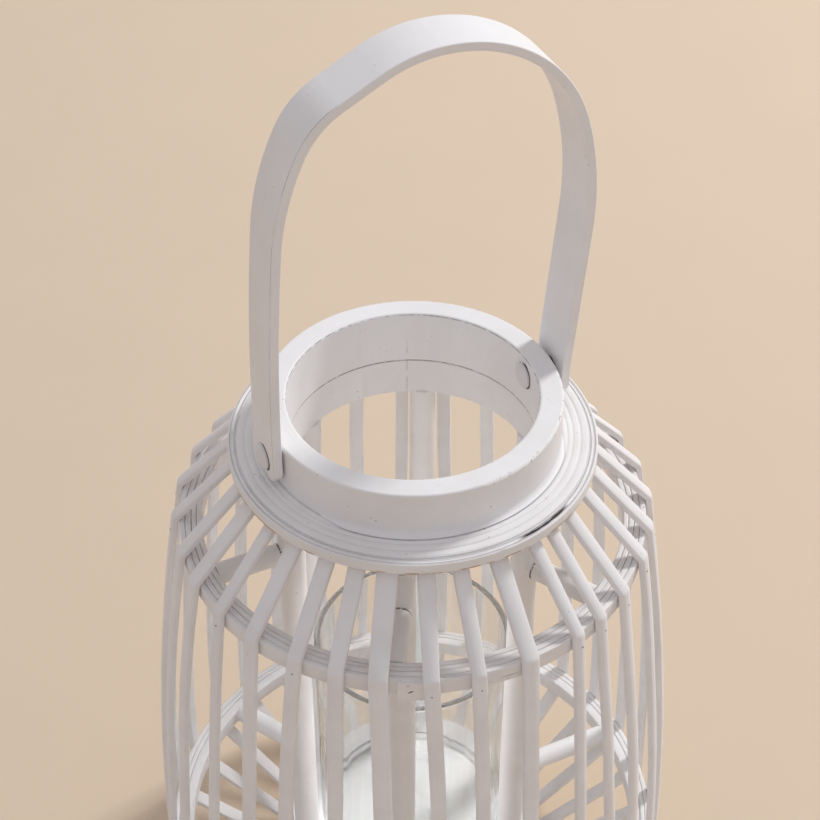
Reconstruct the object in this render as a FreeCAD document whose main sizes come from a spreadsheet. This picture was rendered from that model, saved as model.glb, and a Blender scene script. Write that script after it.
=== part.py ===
import FreeCAD, Part
import Sketcher
import math
import os

# Candle lantern of bent split strips on hoops and posts, with a swinging arch handle and a lift-out glass.
# Millimetres. Origin on the floor under the middle, +Z up, handle pivots along X.

post_count = 6
slat_count = 32
# The strips are set by eye: how far some of them stand from even spacing, in degrees.
slat_drift = {
    14: 1.0, 15: 2.2, 16: 3.4, 17: 2.2, 18: 2.8, 19: 2.7, 20: 3.5, 21: 2.2,
    22: 0.6, 23: 1.2, 24: 0.7, 25: 1.9, 26: 4.1, 27: 0.8, 28: -0.9,
}

driving_sizes = {
    # collar and neck hoop
    "collar_bore": 67.0,
    "collar_outer": 80.0,
    "collar_top": 420.0,
    "collar_bottom": 387.0,
    "collar_edge": 1.5,
    "neck_bottom": 364.0,
    # flange wound round the collar, from its wall outwards
    "wind_gap": 0.1,
    "flange_bottom": 384.0,
    "coil_inner_edge": 86.0,
    "coil_inner_top": 393.0,
    "coil_outer_edge": 90.2,
    "coil_outer_top": 392.8,
    "cap_edge": 94.7,
    "cap_top": 392.5,
    "binding_edge": 99.5,
    "binding_top": 391.6,
    "bead_round": 1.2,
    # slats: outer face of the side profile, then the section
    "tab_face": 94.6,
    "tab_top": 389.9,
    "shoulder_reach": 133.5,
    "shoulder_level": 341.0,
    "side_bow": 1810.0,
    "foot_reach": 157.5,
    "foot_level": 58.0,
    "foot_tab_face": 84.8,
    "foot_tab_top": 12.0,
    "foot_tab_bottom": 3.0,
    "slat_width": 9.0,
    "slat_thick": 4.2,
    "slat_crown": 8.0,
    # hoops inside the two bends of the slats
    "shoulder_hoop_bore": 116.8,
    "shoulder_hoop_lap": 122.9,
    "shoulder_hoop_edge": 129.4,
    "shoulder_hoop_bottom": 328.0,
    "shoulder_hoop_top": 339.5,
    "lower_hoop_bore": 140.9,
    "lower_hoop_lap": 147.0,
    "lower_hoop_edge": 153.1,
    "lower_hoop_bottom": 60.5,
    "lower_hoop_top": 72.0,
    "strip_edge": 0.8,
    # posts, struts, plate and base
    "post_radius": 7.5,
    "post_circle": 73.0,
    "upper_strut_radius": 6.0,
    "upper_strut_level": 334.0,
    "lower_strut_radius": 6.25,
    "lower_strut_level": 66.25,
    "cope_gap": 0.05,
    "plate_radius": 77.0,
    "plate_bottom": 62.0,
    "plate_top": 70.0,
    "base_bore": 64.0,
    "base_outer": 80.5,
    "base_top": 15.0,
    "base_binding_bore": 85.0,
    "base_binding_edge": 89.5,
    "base_binding_top": 10.0,
    # glass insert
    "glass_radius": 58.5,
    "glass_height": 162.0,
    "glass_wall": 3.5,
    "glass_floor": 6.0,
    "glass_heel": 4.0,
    "glass_well": 7.0,
    "glass_rim": 1.2,
    # handle strip: its section, its feet, then the bends of its path at mid thickness, turns in degrees
    "handle_width": 28.2,
    "handle_thick": 5.0,
    "handle_round": 0.8,
    "leg_offset": 82.9,
    "right_stand_off": 2.3,
    "leg_bottom": 397.0,
    "leg_end_round": 8.5,
    "crown_shift": 8.2,
    "crown_level": 630.1,
    "left_leg_radius": 1405.0,
    "left_leg_turn": 5.1,
    "left_bow_radius": 142.0,
    "left_bow_turn": 21.5,
    "left_shoulder_radius": 45.3,
    "left_shoulder_turn": 37.3,
    "left_crown_radius": 67.5,
    "right_crown_radius": 81.3,
    "right_crown_turn": 73.3,
    "right_bow_radius": 180.0,
    "right_flare_radius": 60.0,
    "right_flare_turn": 5.0,
    # pivots: distances from the middle of the lantern along the pivot axis
    "pivot_level": 408.0,
    "pivot_radius": 3.0,
    "pivot_gap": 0.06,
    "head_radius": 7.2,
    "head_dome": 15.0,
    "inner_crest": 63.6,
    "inner_rim": 65.4,
    "inner_seat": 66.55,
    "barrel_end": 85.5,
    "barrel_bore": 2.0,
    "barrel_bore_end": 72.0,
    "screw_radius": 1.95,
    "screw_tip": 74.0,
    "screw_seat": 85.6,
    "screw_rim": 86.7,
    "screw_crest": 88.5,
}

doc = FreeCAD.newDocument("candle_lantern")
sheet = doc.addObject("Spreadsheet::Sheet", "dim")
for row, (alias, size) in enumerate(driving_sizes.items(), start=1):
    sheet.set(f"A{row}", alias)
    sheet.set(f"B{row}", str(size))
    sheet.setAlias(f"B{row}", alias)
doc.recompute()

pieces = []


def size_of(expression):
    return float(sheet.evalExpression(expression))


def new_body(label, turn=0.0):
    # An empty piece, turned about the lantern's axis.
    body = doc.addObject("PartDesign::Body", label)
    body.Label = label
    body.Placement = FreeCAD.Placement(FreeCAD.Vector(), FreeCAD.Rotation(FreeCAD.Vector(0, 0, 1), turn))
    pieces.append(body)
    return body


def origin_item(body, role):
    return next(item for item in body.Origin.OriginFeatures if item.Role == role)


def new_sketch(body, name, role, lift=None):
    # A sketch on one of the body's own planes, moved along its normal by an optional expression.
    sketch = body.newObject("Sketcher::SketchObject", f"{body.Label}_{name}")
    sketch.AttachmentSupport = [(origin_item(body, role), "")]
    sketch.MapMode = "FlatFace"
    if lift:
        sketch.setExpression("AttachmentOffset.Base.z", lift)
    return sketch


def bind(sketch, constraint, name, expression):
    index = sketch.addConstraint(constraint)
    sketch.renameConstraint(index, name)
    sketch.setExpression(f"Constraints.{name}", expression)


def tie(sketch, name, kind, edge, end, distance):
    # One coordinate of a vertex, measured from the sketch origin; zero puts it on the axis.
    size = size_of(distance)
    if abs(size) < 1e-9:
        axis = -2 if kind == "DistanceX" else -1
        sketch.addConstraint(Sketcher.Constraint("PointOnObject", edge, end, axis))
    elif size > 0:
        bind(sketch, Sketcher.Constraint(kind, -1, 1, edge, end, size), name, distance)
    else:
        bind(sketch, Sketcher.Constraint(kind, edge, end, -1, 1, -size), name, f"-({distance})")


def tie_vertex(sketch, name, edge, end, across, up):
    tie(sketch, f"{name}_across", "DistanceX", edge, end, across)
    tie(sketch, f"{name}_up", "DistanceY", edge, end, up)


def arc_over(start, finish, radius, side):
    # The shallow arc of this radius over a chord, swelling to the chord's left (1) or right (-1).
    chord = finish - start
    normal = FreeCAD.Vector(-chord.y, chord.x, 0).normalize() * side
    rise = radius - math.sqrt(radius ** 2 - (chord.Length / 2) ** 2)
    return Part.Arc(start, start + chord * 0.5 + normal * rise, finish)


def outline(sketch, corners, arcs=None, closed=True):
    # Edges through the corners in turn; edge i is an arc where arcs[i] gives its radius and side.
    arcs = arcs or {}
    spots = [FreeCAD.Vector(size_of(across), size_of(up), 0) for across, up in corners]
    edge_count = len(spots) if closed else len(spots) - 1
    ends = []
    for index in range(edge_count):
        start = spots[index]
        finish = spots[(index + 1) % len(spots)]
        if index in arcs:
            radius, side = arcs[index]
            sketch.addGeometry(arc_over(start, finish, size_of(radius), side), False)
        else:
            sketch.addGeometry(Part.LineSegment(start, finish), False)
        forward = (sketch.getPoint(index, 1) - start).Length < 1e-6
        ends.append((1, 2) if forward else (2, 1))
    for index in range(edge_count if closed else edge_count - 1):
        follower = (index + 1) % edge_count
        sketch.addConstraint(
            Sketcher.Constraint("Coincident", index, ends[index][1], follower, ends[follower][0]))
    for index in range(edge_count):
        tie_vertex(sketch, f"corner{index}", index, ends[index][0], *corners[index])
    if not closed:
        tie_vertex(sketch, "finish", edge_count - 1, ends[-1][1], *corners[-1])
    for index, (radius, side) in arcs.items():
        bind(sketch, Sketcher.Constraint("Radius", index, size_of(radius)), f"radius{index}", radius)


def circle(sketch, name, radius, across="0", up="0"):
    centre = FreeCAD.Vector(size_of(across), size_of(up), 0)
    edge = sketch.addGeometry(Part.Circle(centre, FreeCAD.Vector(0, 0, 1), size_of(radius)), False)
    bind(sketch, Sketcher.Constraint("Radius", edge, size_of(radius)), f"{name}_radius", radius)
    tie_vertex(sketch, name, edge, 3, across, up)


def revolve(body, sketch, axis):
    turned = body.newObject("PartDesign::Revolution", f"{body.Label}_turned")
    turned.Profile = sketch
    turned.ReferenceAxis = (sketch, [axis])
    turned.Angle = 360.0
    doc.recompute()
    return turned


def pad(body, sketch, length):
    raised = body.newObject("PartDesign::Pad", f"{body.Label}_raised")
    raised.Profile = sketch
    raised.setExpression("Length", length)
    doc.recompute()
    return raised


def sweep(body, section, path):
    swept = body.newObject("PartDesign::AdditivePipe", f"{body.Label}_swept")
    swept.Profile = section
    swept.Spine = path
    swept.Transition = "Right corner"
    doc.recompute()
    return swept


def cut_through(body, sketch):
    before = body.Shape.Volume
    cut = body.newObject("PartDesign::Pocket", f"{sketch.Label}_cut")
    cut.Profile = sketch
    cut.Type = "ThroughAll"
    cut.SideType = "Symmetric"
    doc.recompute()
    if body.Shape.Volume >= before:
        raise RuntimeError(f"{sketch.Label} cuts nothing")
    return cut


def round_the_axis(body, features, count):
    pattern = body.newObject("PartDesign::PolarPattern", f"{body.Label}_pattern")
    pattern.Originals = features
    pattern.Axis = (origin_item(body, "Z_Axis"), [""])
    pattern.Angle = 360.0
    pattern.Occurrences = count
    body.Tip = pattern
    doc.recompute()
    return pattern


def dress(body, base, kind, size, chosen):
    # A fillet or chamfer on every edge of the feature that the test picks.
    names = [f"Edge{i}" for i, edge in enumerate(base.Shape.Edges, start=1) if chosen(edge)]
    dressed = body.newObject(f"PartDesign::{kind}", f"{body.Label}_{kind.lower()}{len(body.Group)}")
    dressed.Base = (base, names)
    dressed.setExpression("Radius" if kind == "Fillet" else "Size", size)
    doc.recompute()
    return dressed


def lies_at(edge, level):
    box = edge.BoundBox
    return abs(box.ZMin - level) < 1e-4 and abs(box.ZMax - level) < 1e-4


def ring(label, bore, edge, bottom, top, top_round):
    # A hoop turned from a plain section, its two upper edges rounded over.
    body = new_body(label)
    sketch = new_sketch(body, "section", "XZ_Plane")
    outline(sketch, [(bore, bottom), (edge, bottom), (edge, top), (bore, top)])
    turned = revolve(body, sketch, "V_Axis")
    crest = size_of(top)
    dress(body, turned, "Fillet", top_round, lambda rim: lies_at(rim, crest))
    return body


def make_neck():
    collar = ring("collar", "dim.collar_bore", "dim.collar_outer", "dim.collar_bottom", "dim.collar_top",
                  "dim.collar_edge")
    holes = new_sketch(collar, "pivot_holes", "YZ_Plane")
    circle(holes, "hole", "dim.pivot_radius", up="dim.pivot_level")
    cut_through(collar, holes)
    ring("neck_hoop", "dim.collar_bore", "dim.collar_outer", "dim.neck_bottom", "dim.collar_bottom",
         "dim.strip_edge")


def make_flange():
    # Two coils on the collar's wall, a cap strip over the slat ends and a binding outside them.
    ring("flange_coil_inner", "dim.collar_outer + dim.wind_gap", "dim.coil_inner_edge",
         "dim.flange_bottom", "dim.coil_inner_top", "dim.bead_round")
    ring("flange_coil_outer", "dim.coil_inner_edge + dim.wind_gap", "dim.coil_outer_edge",
         "dim.flange_bottom", "dim.coil_outer_top", "dim.bead_round")
    ring("flange_cap", "dim.coil_outer_edge + dim.wind_gap", "dim.cap_edge",
         "dim.tab_top", "dim.cap_top", "dim.bead_round")
    ring("flange_binding", "dim.cap_edge + dim.wind_gap", "dim.binding_edge",
         "dim.flange_bottom", "dim.binding_top", "dim.bead_round")


def make_hoops():
    for name in ("shoulder_hoop", "lower_hoop"):
        own = f"dim.{name}"
        ring(f"{name}_inner", f"{own}_bore", f"{own}_lap - dim.wind_gap", f"{own}_bottom", f"{own}_top",
             "dim.strip_edge")
        ring(f"{name}_outer", f"{own}_lap", f"{own}_edge", f"{own}_bottom", f"{own}_top", "dim.strip_edge")


def make_base():
    ring("base_hoop", "dim.base_bore", "dim.base_outer", "0", "dim.base_top", "dim.strip_edge")
    ring("base_binding", "dim.base_binding_bore", "dim.base_binding_edge", "0", "dim.base_binding_top",
         "dim.bead_round")


def make_slats():
    # The first slat is a crowned strip swept down the bent side profile; the others are turned copies of it.
    first = new_body("slat_01")
    path = new_sketch(first, "side_profile", "XZ_Plane")
    bends = [
        ("dim.tab_face", "dim.tab_top"),
        ("dim.tab_face", "dim.flange_bottom"),
        ("dim.shoulder_reach", "dim.shoulder_level"),
        ("dim.foot_reach", "dim.foot_level"),
        ("dim.foot_tab_face", "dim.foot_tab_top"),
        ("dim.foot_tab_face", "dim.foot_tab_bottom"),
    ]
    outline(path, bends, arcs={2: ("dim.side_bow", 1)}, closed=False)
    section = new_sketch(first, "section", "XY_Plane", lift="dim.tab_top")
    back = "dim.tab_face - dim.slat_thick"
    crown_edge = "dim.tab_face - dim.slat_crown + sqrt(dim.slat_crown ^ 2 - dim.slat_width ^ 2 / 4)"
    half = "dim.slat_width / 2"
    corners = [(back, f"-{half}"), (crown_edge, f"-{half}"), (crown_edge, half), (back, half)]
    outline(section, corners, arcs={1: ("dim.slat_crown", -1)})
    sweep(first, section, path)
    for number in range(2, slat_count + 1):
        even_turn = (number - 1) * 360.0 / slat_count
        copy = new_body(f"slat_{number:02d}", turn=even_turn + slat_drift.get(number, 0.0))
        strip = doc.addObject("PartDesign::FeatureBase", f"slat_{number:02d}_strip")
        strip.BaseFeature = first
        copy.Group = [strip]
        copy.Tip = strip


def make_posts():
    for number in range(post_count):
        post = doc.addObject("Part::Cylinder", f"post_{number + 1}")
        post.Label = f"post_{number + 1}"
        post.setExpression("Radius", "dim.post_radius")
        post.setExpression("Height", "dim.neck_bottom - dim.base_top")
        turn = FreeCAD.Rotation(FreeCAD.Vector(0, 0, 1), number * 360.0 / post_count)
        stand = FreeCAD.Vector(size_of("dim.post_circle"), 0, size_of("dim.base_top"))
        post.Placement = FreeCAD.Placement(turn.multVec(stand), turn)
        pieces.append(post)


def make_struts(level_name, hoop_bore):
    # Round spokes between the posts and a hoop, coped at both ends.
    body = new_body(f"{level_name}_struts")
    own = f"dim.{level_name}_strut"
    section = new_sketch(body, "section", "YZ_Plane", lift="dim.post_circle")
    circle(section, "spoke", f"{own}_radius", up=f"{own}_level")
    spoke = pad(body, section, f"{hoop_bore} - dim.post_circle + dim.post_radius")
    trim = new_sketch(body, "cope", "XY_Plane")
    circle(trim, "post", "dim.post_radius + dim.cope_gap", across="dim.post_circle")
    circle(trim, "hoop", f"{hoop_bore} - dim.cope_gap")
    circle(trim, "beyond", f"{hoop_bore} + 3 * dim.post_radius")
    cope = cut_through(body, trim)
    round_the_axis(body, [spoke, cope], post_count)


def make_plate():
    body = new_body("candle_plate")
    disc = new_sketch(body, "disc", "XY_Plane", lift="dim.plate_bottom")
    circle(disc, "edge", "dim.plate_radius")
    pad(body, disc, "dim.plate_top - dim.plate_bottom")
    notch = new_sketch(body, "notch", "XY_Plane")
    circle(notch, "post", "dim.post_radius + dim.cope_gap", across="dim.post_circle")
    round_the_axis(body, [cut_through(body, notch)], post_count)


def make_glass():
    # A straight tumbler with a thick floor.
    body = new_body("glass_insert")
    sketch = new_sketch(body, "section", "XZ_Plane")
    rim_level = "dim.plate_top + dim.glass_height"
    floor_level = "dim.plate_top + dim.glass_floor"
    inside = "dim.glass_radius - dim.glass_wall"
    outline(sketch, [("0", "dim.plate_top"), ("dim.glass_radius", "dim.plate_top"),
                     ("dim.glass_radius", rim_level), (inside, rim_level), (inside, floor_level),
                     ("0", floor_level)])
    cup = revolve(body, sketch, "V_Axis")
    for size, level in (("dim.glass_heel", "dim.plate_top"), ("dim.glass_well", floor_level),
                        ("dim.glass_rim", rim_level)):
        height = size_of(level)
        cup = dress(body, cup, "Fillet", size, lambda rim: lies_at(rim, height))


def walk(sketch, spot, heading, moves):
    # A smooth chain of edges: each move is a length and no turn, or a radius and a turn to the right.
    chain = []
    for size, turn in moves:
        along = FreeCAD.Vector(math.cos(heading), math.sin(heading), 0)
        if turn:
            centre = spot + FreeCAD.Vector(along.y, -along.x, 0) * math.copysign(size, turn)
            stops = [centre + FreeCAD.Rotation(FreeCAD.Vector(0, 0, 1), -part * turn).multVec(spot - centre)
                     for part in (0.5, 1.0)]
            edge = sketch.addGeometry(Part.Arc(spot, *stops), False)
        else:
            stops = [spot + along * size]
            edge = sketch.addGeometry(Part.LineSegment(spot, stops[0]), False)
        forward = (sketch.getPoint(edge, 1) - spot).Length < 1e-6
        chain.append((edge, 1, 2) if forward else (edge, 2, 1))
        spot = stops[-1]
        heading -= math.radians(turn)
    for (edge, start, finish), (follower, begin, end) in zip(chain, chain[1:]):
        sketch.addConstraint(Sketcher.Constraint("Tangent", edge, finish, follower, begin))
    return chain


def make_handle():
    # One strip swept from the left foot up its leg, over the crown and down the right leg, which leans out.
    body = new_body("handle")
    path = new_sketch(body, "arch_path", "XZ_Plane")
    left_crown_turn = 90.0 - size_of("dim.left_leg_turn + dim.left_bow_turn + dim.left_shoulder_turn")
    right_bow_turn = 90.0 + size_of("dim.right_flare_turn - dim.right_crown_turn")
    # The straight lengths are first guesses, which the ties at the crown and the feet then settle.
    moves = {
        "left_foot": (18.0, 0),
        "left_leg": (size_of("dim.left_leg_radius"), size_of("dim.left_leg_turn")),
        "left_bow": (size_of("dim.left_bow_radius"), size_of("dim.left_bow_turn")),
        "left_shoulder": (size_of("dim.left_shoulder_radius"), size_of("dim.left_shoulder_turn")),
        "left_flat": (23.0, 0),
        "left_crown": (size_of("dim.left_crown_radius"), left_crown_turn),
        "right_crown": (size_of("dim.right_crown_radius"), size_of("dim.right_crown_turn")),
        "right_bow": (size_of("dim.right_bow_radius"), right_bow_turn),
        "right_lean": (95.0, 0),
        "right_flare": (size_of("dim.right_flare_radius"), -size_of("dim.right_flare_turn")),
        "right_foot": (21.0, 0),
    }
    foot = FreeCAD.Vector(-size_of("dim.leg_offset"), size_of("dim.leg_bottom"), 0)
    chain = dict(zip(moves, walk(path, foot, math.pi / 2, moves.values())))
    for name in ("left_foot", "right_foot"):
        path.addConstraint(Sketcher.Constraint("Vertical", chain[name][0]))
    for name, (size, turn) in moves.items():
        if turn:
            edge = chain[name][0]
            bind(path, Sketcher.Constraint("Radius", edge, size), f"{name}_radius", f"dim.{name}_radius")
    for name in ("left_leg", "left_bow", "left_shoulder", "right_crown", "right_flare"):
        turn = Sketcher.Constraint("Angle", chain[name][0], math.radians(abs(moves[name][1])))
        bind(path, turn, f"{name}_turn", f"dim.{name}_turn * 1 deg")
    left_edge, left_start, _ = chain["left_foot"]
    crown_edge, _, crown_end = chain["left_crown"]
    right_edge, _, right_end = chain["right_foot"]
    path.addConstraint(Sketcher.Constraint("Vertical", crown_edge, 3, crown_edge, crown_end))
    tie_vertex(path, "left", left_edge, left_start, "-dim.leg_offset", "dim.leg_bottom")
    tie_vertex(path, "crown", crown_edge, crown_end, "dim.crown_shift", "dim.crown_level")
    tie_vertex(path, "right", right_edge, right_end, "dim.leg_offset + dim.right_stand_off", "dim.leg_bottom")
    section = new_sketch(body, "section", "XY_Plane", lift="dim.leg_bottom")
    near = "-dim.leg_offset + dim.handle_thick / 2"
    far = "-dim.leg_offset - dim.handle_thick / 2"
    half = "dim.handle_width / 2"
    outline(section, [(near, f"-{half}"), (near, half), (far, half), (far, f"-{half}")])
    strip = sweep(body, section, path)
    leg_end = size_of("dim.leg_bottom")
    rounded = dress(body, strip, "Fillet", "dim.leg_end_round",
                    lambda edge: lies_at(edge, leg_end) and edge.BoundBox.YLength < 1e-4)
    side = size_of(half)
    dress(body, rounded, "Fillet", "dim.handle_round",
          lambda edge: edge.BoundBox.YLength < 1e-4 and abs(abs(edge.BoundBox.YMax) - side) < 1e-4
          and edge.BoundBox.ZLength > 2.0)
    holes = new_sketch(body, "pivot_holes", "YZ_Plane")
    circle(holes, "hole", "dim.pivot_radius + dim.pivot_gap", up="dim.pivot_level")
    cut_through(body, holes)


def make_pivot(side, turn, stand_off):
    # A domed barrel pushed out through the collar from inside, and a domed screw that closes it over the leg.
    axis_level = FreeCAD.Vector(0, 0, size_of("dim.pivot_level"))
    outlines = {
        "barrel": [
            ("dim.inner_crest", "0"), ("dim.inner_rim", "dim.head_radius"),
            ("dim.inner_seat", "dim.head_radius"), ("dim.inner_seat", "dim.pivot_radius"),
            (f"dim.barrel_end + {stand_off}", "dim.pivot_radius"),
            (f"dim.barrel_end + {stand_off}", "dim.barrel_bore"),
            (f"dim.barrel_bore_end + {stand_off}", "dim.barrel_bore"),
            (f"dim.barrel_bore_end + {stand_off}", "0"),
        ],
        "screw": [
            (f"dim.screw_crest + {stand_off}", "0"), (f"dim.screw_rim + {stand_off}", "dim.head_radius"),
            (f"dim.screw_seat + {stand_off}", "dim.head_radius"),
            (f"dim.screw_seat + {stand_off}", "dim.screw_radius"),
            (f"dim.screw_tip + {stand_off}", "dim.screw_radius"), (f"dim.screw_tip + {stand_off}", "0"),
        ],
    }
    for name, corners in outlines.items():
        body = new_body(f"pivot_{name}_{side}", turn)
        body.Placement.Base = axis_level
        sketch = new_sketch(body, "section", "XZ_Plane")
        outline(sketch, corners, arcs={0: ("dim.head_dome", 1 if name == "barrel" else -1)})
        revolve(body, sketch, "H_Axis")


make_neck()
make_flange()
make_slats()
make_hoops()
make_posts()
make_struts("upper", "dim.shoulder_hoop_bore")
make_struts("lower", "dim.lower_hoop_bore")
make_plate()
make_base()
make_glass()
make_handle()
make_pivot("right", 0.0, "dim.right_stand_off")
make_pivot("left", 180.0, "0")
doc.recompute()

for item in doc.Objects:
    if "Invalid" in item.State or "Error" in item.State:
        raise RuntimeError(f"{item.Label} failed: {item.State}")
for piece in pieces:
    if piece.Shape.isNull() or not piece.Shape.isValid() or piece.Shape.Volume <= 0:
        raise RuntimeError(f"{piece.Label} has no valid solid")

os.makedirs("parts", exist_ok=True)
for piece in pieces:
    piece.Shape.exportStep(f"parts/{piece.Label}.step")
print(f"{len(pieces)} pieces written")
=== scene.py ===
import math
import random
import bpy
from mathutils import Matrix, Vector


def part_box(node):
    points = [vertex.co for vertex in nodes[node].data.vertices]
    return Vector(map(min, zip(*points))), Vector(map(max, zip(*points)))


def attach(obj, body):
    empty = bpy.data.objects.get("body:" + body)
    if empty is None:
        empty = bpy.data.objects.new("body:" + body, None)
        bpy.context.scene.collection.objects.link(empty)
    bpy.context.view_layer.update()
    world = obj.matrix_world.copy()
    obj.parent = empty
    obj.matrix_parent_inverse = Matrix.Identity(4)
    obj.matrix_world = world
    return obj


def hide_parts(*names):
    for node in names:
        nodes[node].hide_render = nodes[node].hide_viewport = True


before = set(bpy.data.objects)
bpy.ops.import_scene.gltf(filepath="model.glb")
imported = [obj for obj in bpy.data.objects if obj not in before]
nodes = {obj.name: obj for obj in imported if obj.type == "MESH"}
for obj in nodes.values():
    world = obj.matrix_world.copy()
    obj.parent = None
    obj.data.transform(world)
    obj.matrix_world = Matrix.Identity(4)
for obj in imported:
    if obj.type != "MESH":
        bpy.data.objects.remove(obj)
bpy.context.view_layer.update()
scene = bpy.context.scene
scene.view_settings.view_transform = "Standard"
print("frame loaded:", len(nodes), "nodes")


# small helpers for node trees, used for geometry and for materials
def addNode(tree, kind, **settings):
    node = tree.nodes.new(kind)
    for key, value in settings.items():
        setattr(node, key, value)
    return node


def feed(tree, socket, value):
    if isinstance(value, bpy.types.NodeSocket):
        tree.links.new(value, socket)
    else:
        socket.default_value = value


def placeNode(tree, kind, inputs, **settings):
    node = addNode(tree, kind, **settings)
    for label, value in inputs.items():
        feed(tree, node.inputs[label], value)
    return node


# the same, for nodes of which only the first output is used
def wire(tree, kind, inputs, **settings):
    return placeNode(tree, kind, inputs, **settings).outputs[0]


# one math node, or a chain of them for more than two values
def calc(tree, operation, *values):
    node = addNode(tree, "ShaderNodeMath", operation=operation)
    for socket, value in zip(node.inputs, values[:2]):
        feed(tree, socket, value)
    if len(values) > 2:
        return calc(tree, operation, node.outputs[0], *values[2:])
    return node.outputs[0]


def product(tree, *values):
    return calc(tree, "MULTIPLY", *values)


def minus(tree, a, b):
    return calc(tree, "SUBTRACT", a, b)


def distance(tree, value, middle):
    return calc(tree, "ABSOLUTE", minus(tree, value, middle))


def hypotenuse(tree, a, b):
    return calc(tree, "SQRT", calc(tree, "ADD", product(tree, a, a), product(tree, b, b)))


# soft step from one value to another
def ramp(tree, value, low, high, atLow=0.0, atHigh=1.0):
    node = addNode(tree, "ShaderNodeMapRange", interpolation_type="SMOOTHSTEP")
    for socket, setting in zip(node.inputs, (value, low, high, atLow, atHigh)):
        feed(tree, socket, setting)
    return node.outputs[0]


def split(tree, vector):
    return tuple(placeNode(tree, "ShaderNodeSeparateXYZ", {0: vector}).outputs)


def compose(tree, x, y, z):
    return wire(tree, "ShaderNodeCombineXYZ", {0: x, 1: y, 2: z})


def vectorMath(tree, operation, a, b):
    return placeNode(tree, "ShaderNodeVectorMath", {0: a, 1: b}, operation=operation).outputs


def stretch(tree, vector, scale):
    return vectorMath(tree, "MULTIPLY", vector, scale)["Vector"]


def noise(tree, vector, scale=1.0, detail=2.0, roughness=0.5):
    inputs = {"Vector": vector, "Scale": scale, "Detail": detail, "Roughness": roughness}
    return wire(tree, "ShaderNodeTexNoise", inputs, noise_dimensions="3D")


# sockets are (label, kind) or, for an input with a start value, (label, kind, start)
def newGroup(name, kind, ins, outs):
    tree = bpy.data.node_groups.new(name, kind)
    for label, socketKind, *start in ins:
        socket = tree.interface.new_socket(label, in_out="INPUT", socket_type="NodeSocket" + socketKind)
        if start:
            socket.default_value = start[0]
    for label, socketKind in outs:
        tree.interface.new_socket(label, in_out="OUTPUT", socket_type="NodeSocket" + socketKind)
    given = addNode(tree, "NodeGroupInput").outputs
    result = addNode(tree, "NodeGroupOutput").inputs
    return tree, given, result


# coordinates that run along a piece, so that grain follows hoops, slats and the bent handle
# ringReach and slatReach: the reach at which a turn counts as a length, in metres
grain = {"ringReach": 0.1, "slatReach": 0.15, "archMiddle": 0.008, "archSpring": 0.545, "archRadius": 0.083}


def newCoords(name, *sizes):
    return newGroup(name, "ShaderNodeTree", [("Point", "Vector"), *sizes], [("Along", "Vector")])


def polar(tree, point):
    x, y, z = split(tree, point)
    return calc(tree, "ARCTAN2", x, product(tree, y, -1.0)), hypotenuse(tree, x, y), z


def makeRingCoords():
    tree, given, result = newCoords("ringCoords")
    turn, reach, level = polar(tree, given["Point"])
    feed(tree, result["Along"], compose(tree, product(tree, turn, grain["ringReach"]), reach, level))
    return tree


def makeSlatCoords():
    tree, given, result = newCoords("slatCoords")
    turn, reach, level = polar(tree, given["Point"])
    lengthwise = minus(tree, level, reach)
    feed(tree, result["Along"], compose(tree, lengthwise, product(tree, turn, grain["slatReach"]), 0.0))
    return tree


def makeArchCoords():
    sizes = [("Middle", "Float", grain["archMiddle"]), ("Spring", "Float", grain["archSpring"]),
             ("Radius", "Float", grain["archRadius"])]
    tree, given, result = newCoords("archCoords", *sizes)
    x, y, z = split(tree, given["Point"])
    aside = minus(tree, x, given["Middle"])
    above = calc(tree, "MAXIMUM", minus(tree, z, given["Spring"]), 0.0)
    below = calc(tree, "MAXIMUM", minus(tree, given["Spring"], z), 0.0)
    overArch = product(tree, calc(tree, "ARCTAN2", aside, above), given["Radius"])
    downLeg = product(tree, calc(tree, "SIGN", aside), below)
    lengthwise = calc(tree, "ADD", overArch, downLeg)
    feed(tree, result["Along"], compose(tree, lengthwise, y, hypotenuse(tree, aside, above)))
    return tree


# brushed paint over split cane: fibres, hairline cracks, specks and a little unevenness
# scales are per metre, spans are the two ends of a soft step in the noise
skinLook = {
    "patchScale": 45.0, "toneScale": 22.0, "peelScale": 1400.0, "dustScale": 620.0, "toneSpan": (0.3, 0.7),
    "crackFrom": 0.22, "crackGain": 0.16, "crackSoft": 0.03, "crackSpan": (0.42, 0.58),
    "speckFrom": 0.86, "speckGain": 0.12, "speckSoft": 0.03, "speckSpan": (0.5, 0.62), "speckShare": 0.7,
    "fibreRelief": 0.6, "peelRelief": 0.25, "markRelief": 0.8, "roughFrom": 0.42, "roughGain": 0.18,
}


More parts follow.
